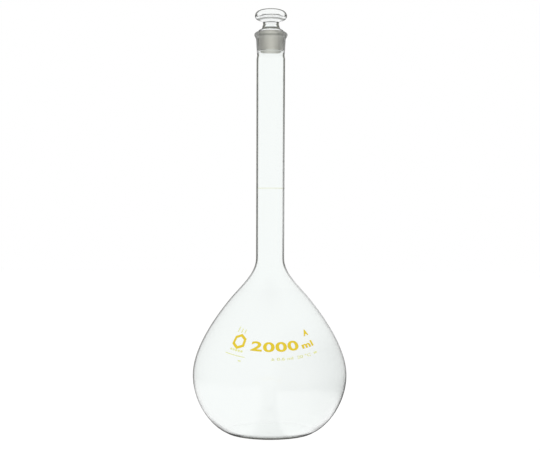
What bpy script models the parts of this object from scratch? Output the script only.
"""A 2000 mL volumetric flask with its ground glass stopper.

The flask is three fused sections of glass, turned round the Z axis: a blown bulb with a flat base, a
straight neck tube and a ground socket. A fired enamel ring marks the volume on the neck. The stopper is a
hollow ground plug with a solid head. Lengths are in metres, +Z is up, and the origin is the middle of the
base. Sections that are fused on the real flask are kept a hair apart, at SEAM.
"""

import math

import bpy
import numpy as np

UPWARD = math.pi / 2
INWARD = math.pi

# Turning
SIDES = 48
SEAM = 0.0003
AXIS_MERGE = 0.00001

# Bulb
BASE_RADIUS = 0.0410
BASE_THICKNESS = 0.0022
HEEL_SLOPE = math.radians(13)
BULB_RADIUS = 0.0793
BULB_WIDEST_Z = 0.0600
SHOULDER_RADIUS = 0.0386
SHOULDER_Z = 0.1411
SHOULDER_SLOPE = math.radians(130.4)
BELLY_PULLS = (0.0175, 0.0300)
UPPER_PULLS = (0.0275, 0.0255)
THROAT_PULLS = (0.0150, 0.0148)
HEEL_WALL = 0.0018
HEEL_WALL_Z = 0.0150
BELLY_WALL = 0.00125

# Neck tube
NECK_FOOT_RADIUS = 0.0145
NECK_FOOT_Z = 0.1800
NECK_TOP_RADIUS = 0.0148
NECK_TOP_Z = 0.3856
NECK_WALL = 0.0019
WELD_RADIUS = 0.0142
WELD_Z = 0.3898

# Graduation ring
RING_Z = 0.2523
RING_HEIGHT = 0.0003
RING_THICKNESS = 0.00012
RING_GAP = 0.00005

# Ground socket, with a 1 in 10 taper on the diameter
TAPER = 1 / 20
GROUND_FOOT_Z = 0.3928
SOCKET_BORE_RADIUS = 0.0135
SOCKET_FOOT_RADIUS = 0.0145
SOCKET_FOOT_Z = 0.3923
SOCKET_WAIST_RADIUS = 0.0153
SOCKET_WAIST_Z = 0.4055
RIM_RADIUS = 0.0172
RIM_Z = 0.4112
MOUTH_Z = 0.4138
LIP_RADIUS = 0.0143
MOUTH_RADIUS = 0.0137
MOUTH_EDGE_Z = 0.4137
FLARE_PULLS = (0.0020, 0.0026)
RIM_PULLS = (0.0009, 0.0012)

# Stopper plug, clear of the socket's bore by GROUND_GAP
GROUND_GAP = 0.0002
PLUG_FOOT_Z = 0.3936
PLUG_SHOULDER_Z = 0.4141
PLUG_WALL = 0.0019
DOME_TOP_RADIUS = 0.0091
DOME_TOP_Z = 0.4181
DOME_SLOPE = math.radians(115)
DOME_PULLS = (0.0018, 0.0022)
WAIST_RADIUS = 0.0082
WAIST_Z = 0.4215
STEP_PULLS = (0.0006, 0.0006)
WAIST_SLOPE = math.radians(70)
WAIST_PULLS = (0.0010, 0.0010)

# Hollow of the plug, open at its foot
CEILING_FOOT_Z = 0.4128
CEILING_TOP_Z = 0.4184
CEILING_PULLS = (0.0014, 0.0022)
WAIST_BORE_RADIUS = 0.0052
WAIST_BORE_Z = 0.4206
BORE_TOP_Z = 0.4225
BORE_TOP_PULLS = (0.0010, 0.0028)

# Stopper head
HEAD_FOOT_RADIUS = 0.0085
HEAD_FOOT_Z = 0.4241
HEAD_FOOT_SLOPE = math.radians(60)
HEAD_EDGE_RADIUS = 0.0139
HEAD_EDGE_Z = 0.4264
UNDERSIDE_SLOPE = math.radians(8)
HEAD_SIDE_SLOPE = math.radians(30)
HEAD_RADIUS = 0.0166
HEAD_WIDEST_Z = 0.4300
HEAD_TOP_Z = 0.4375
UNDERSIDE_PULLS = (0.0012, 0.0020)
HEAD_SIDE_PULLS = (0.0015, 0.0020)
CROWN_PULLS = (0.0054, 0.0117)

# Colour and roughness
CLEAR_GLASS = ((0.93, 0.96, 0.95), 0.02)
GROUND_GLASS = ((0.57, 0.56, 0.50), 0.60)
YELLOW_ENAMEL = ((0.80, 0.52, 0.02), 0.35)


def curve(start, heading, end, end_heading, pulls, steps):
    """Points of a cubic curve from start to end, as (radius, height). It leaves start along heading and
    arrives at end along end_heading, and the two pulls say how long it holds each direction."""
    along = np.array((math.cos(heading), math.sin(heading)))
    end_along = np.array((math.cos(end_heading), math.sin(end_heading)))
    a, d = np.array(start), np.array(end)
    b, c = a + pulls[0] * along, d - pulls[1] * end_along
    t = np.linspace(0, 1, steps + 1)[:, None]
    return (1 - t) ** 3 * a + 3 * (1 - t) ** 2 * t * b + 3 * (1 - t) * t**2 * c + t**3 * d


def inset(outline, walls):
    """The outline moved inwards, at each point by its own wall thickness."""
    along = np.gradient(outline, axis=0)
    along /= np.linalg.norm(along, axis=1)[:, None]
    inward = np.column_stack((-along[:, 1], along[:, 0]))
    return outline + inward * np.asarray(walls)[:, None]


def finish(name, look):
    colour, roughness = look
    material = bpy.data.materials.new(name)
    material.use_nodes = True
    shader = material.node_tree.nodes["Principled BSDF"]
    shader.inputs["Base Color"].default_value = (*colour, 1.0)
    shader.inputs["Roughness"].default_value = roughness
    shader.inputs["Metallic"].default_value = 0.0
    return material


def turned(name, outline, look, parent=None):
    """A solid turned round Z. The outline runs down the outer side, and up the inner side if it has one.
    It starts and ends on the axis, or it is closed into a loop. Its heights are world heights."""
    points = [(float(radius), 0.0, float(height)) for radius, height in outline]
    edges = [(i, i + 1) for i in range(len(points) - 1)]
    if points[0][0] > 0:
        edges.append((len(points) - 1, 0))
    mesh = bpy.data.meshes.new(name)
    mesh.from_pydata(points, edges, [])
    mesh.materials.append(finish(name, look))
    solid = bpy.data.objects.new(name, mesh)
    bpy.context.scene.collection.objects.link(solid)
    if parent is not None:
        solid.parent = parent
        solid.location.z = -parent.location.z
    screw = solid.modifiers.new("Turning", "SCREW")
    screw.axis = "Z"
    screw.angle = math.tau
    screw.steps = SIDES
    screw.render_steps = SIDES
    screw.use_merge_vertices = True
    screw.merge_threshold = AXIS_MERGE
    screw.use_smooth_shade = True


def neck_radius(z):
    rise = (z - NECK_FOOT_Z) / (NECK_TOP_Z - NECK_FOOT_Z)
    return NECK_FOOT_RADIUS + rise * (NECK_TOP_RADIUS - NECK_FOOT_RADIUS)


def socket_bore_radius(z):
    return SOCKET_BORE_RADIUS - TAPER * (MOUTH_Z - z)


def make_bulb():
    """The outer outline is three curves: from the base to the widest point, on to the straight shoulder,
    and through the throat into the neck."""
    heel = (BASE_RADIUS, 0.0)
    widest = (BULB_RADIUS, BULB_WIDEST_Z)
    shoulder = (SHOULDER_RADIUS, SHOULDER_Z)
    neck_foot = (NECK_FOOT_RADIUS, NECK_FOOT_Z)
    belly = curve(heel, HEEL_SLOPE, widest, UPWARD, BELLY_PULLS, steps=9)
    upper = curve(widest, UPWARD, shoulder, SHOULDER_SLOPE, UPPER_PULLS, steps=8)
    throat = curve(shoulder, SHOULDER_SLOPE, neck_foot, UPWARD, THROAT_PULLS, steps=6)
    outer = np.concatenate((belly, upper[1:], throat[1:]))
    walls = np.interp(
        outer[:, 1],
        (0.0, HEEL_WALL_Z, BULB_WIDEST_Z, SHOULDER_Z, NECK_FOOT_Z),
        (BASE_THICKNESS, HEEL_WALL, BELLY_WALL, BELLY_WALL, NECK_WALL),
    )
    inner = inset(outer, walls)
    inner[0, 1] = BASE_THICKNESS
    inner[-1] = (NECK_FOOT_RADIUS - NECK_WALL, NECK_FOOT_Z)
    outline = [(0.0, BASE_THICKNESS), *inner, *outer[::-1], (0.0, 0.0)]
    turned("bulb", outline, CLEAR_GLASS)


def make_neck_tube():
    """A straight tube that draws in a little towards its weld with the socket."""
    foot, top = NECK_FOOT_Z + SEAM, WELD_Z - SEAM / 2
    middle = ((NECK_TOP_RADIUS + WELD_RADIUS) / 2, (NECK_TOP_Z + WELD_Z) / 2)
    outer = [(neck_radius(foot), foot), (NECK_TOP_RADIUS, NECK_TOP_Z), middle, (WELD_RADIUS, top)]
    inner = [(radius - NECK_WALL, z) for radius, z in outer]
    turned("neck_tube", outer[::-1] + inner, CLEAR_GLASS)


def make_graduation_ring():
    inner = neck_radius(RING_Z) + RING_GAP
    outer = inner + RING_THICKNESS
    low, high = RING_Z - RING_HEIGHT / 2, RING_Z + RING_HEIGHT / 2
    turned("graduation_ring", [(outer, high), (outer, low), (inner, low), (inner, high)], YELLOW_ENAMEL)


def make_ground_socket():
    """A tapered bore inside a sleeve that flares into a thick rim."""
    foot = WELD_Z + SEAM / 2
    waist = (SOCKET_WAIST_RADIUS, SOCKET_WAIST_Z)
    rim = (RIM_RADIUS, RIM_Z)
    flare = curve(waist, UPWARD, rim, UPWARD, FLARE_PULLS, steps=5)
    bevel = curve(rim, UPWARD, (LIP_RADIUS, MOUTH_Z), INWARD, RIM_PULLS, steps=4)
    outer = [(WELD_RADIUS, foot), (SOCKET_FOOT_RADIUS, SOCKET_FOOT_Z), *flare, *bevel[1:]]
    inner = [
        (WELD_RADIUS - NECK_WALL, foot),
        (socket_bore_radius(GROUND_FOOT_Z), GROUND_FOOT_Z),
        (MOUTH_RADIUS, MOUTH_EDGE_Z),
    ]
    turned("ground_socket", outer[::-1] + inner, GROUND_GLASS)


def make_stopper_plug(seat):
    """A ground cone with a domed shoulder and a narrow waist, hollow from its foot to its waist."""
    foot_radius = socket_bore_radius(PLUG_FOOT_Z) - GROUND_GAP
    shoulder_radius = socket_bore_radius(PLUG_SHOULDER_Z) - GROUND_GAP
    shoulder = (shoulder_radius, PLUG_SHOULDER_Z)
    dome_top = (DOME_TOP_RADIUS, DOME_TOP_Z)
    waist = (WAIST_RADIUS, WAIST_Z)
    top_z = HEAD_FOOT_Z - SEAM
    dome = curve(shoulder, UPWARD, dome_top, DOME_SLOPE, DOME_PULLS, steps=5)
    step = curve(dome_top, UPWARD, waist, UPWARD, STEP_PULLS, steps=3)
    neck = curve(waist, UPWARD, (HEAD_FOOT_RADIUS, top_z), WAIST_SLOPE, WAIST_PULLS, steps=2)
    outer = [(foot_radius, PLUG_FOOT_Z), *dome, *step[1:], *neck[1:]]
    ceiling_foot = (shoulder_radius - PLUG_WALL, CEILING_FOOT_Z)
    ceiling_top = (WAIST_BORE_RADIUS, CEILING_TOP_Z)
    waist_bore = (WAIST_BORE_RADIUS, WAIST_BORE_Z)
    ceiling = curve(ceiling_foot, UPWARD, ceiling_top, UPWARD, CEILING_PULLS, steps=5)
    bore_top = curve(waist_bore, UPWARD, (0.0, BORE_TOP_Z), INWARD, BORE_TOP_PULLS, steps=4)
    inner = [(foot_radius - PLUG_WALL, PLUG_FOOT_Z), *ceiling, *bore_top]
    turned("stopper_plug", [(0.0, top_z), *outer[::-1], *inner], GROUND_GLASS, seat)


def make_stopper_head(seat):
    """A solid flattened button to hold the stopper by."""
    foot = (HEAD_FOOT_RADIUS, HEAD_FOOT_Z)
    edge = (HEAD_EDGE_RADIUS, HEAD_EDGE_Z)
    widest = (HEAD_RADIUS, HEAD_WIDEST_Z)
    underside = curve(foot, HEAD_FOOT_SLOPE, edge, UNDERSIDE_SLOPE, UNDERSIDE_PULLS, steps=3)
    side = curve(edge, HEAD_SIDE_SLOPE, widest, UPWARD, HEAD_SIDE_PULLS, steps=4)
    crown = curve(widest, UPWARD, (0.0, HEAD_TOP_Z), INWARD, CROWN_PULLS, steps=7)
    outer = [(0.0, HEAD_FOOT_Z), *underside, *side[1:], *crown[1:]]
    turned("stopper_head", outer[::-1], CLEAR_GLASS, seat)


def make_stopper():
    """The stopper lifts straight up, from a seat in the middle of the socket's mouth."""
    seat = bpy.data.objects.new("stopper_seat", None)
    seat.location = (0.0, 0.0, MOUTH_Z)
    bpy.context.scene.collection.objects.link(seat)
    make_stopper_plug(seat)
    make_stopper_head(seat)


def main():
    for old in list(bpy.data.objects):
        bpy.data.objects.remove(old, do_unlink=True)
    make_bulb()
    make_neck_tube()
    make_graduation_ring()
    make_ground_socket()
    make_stopper()


main()
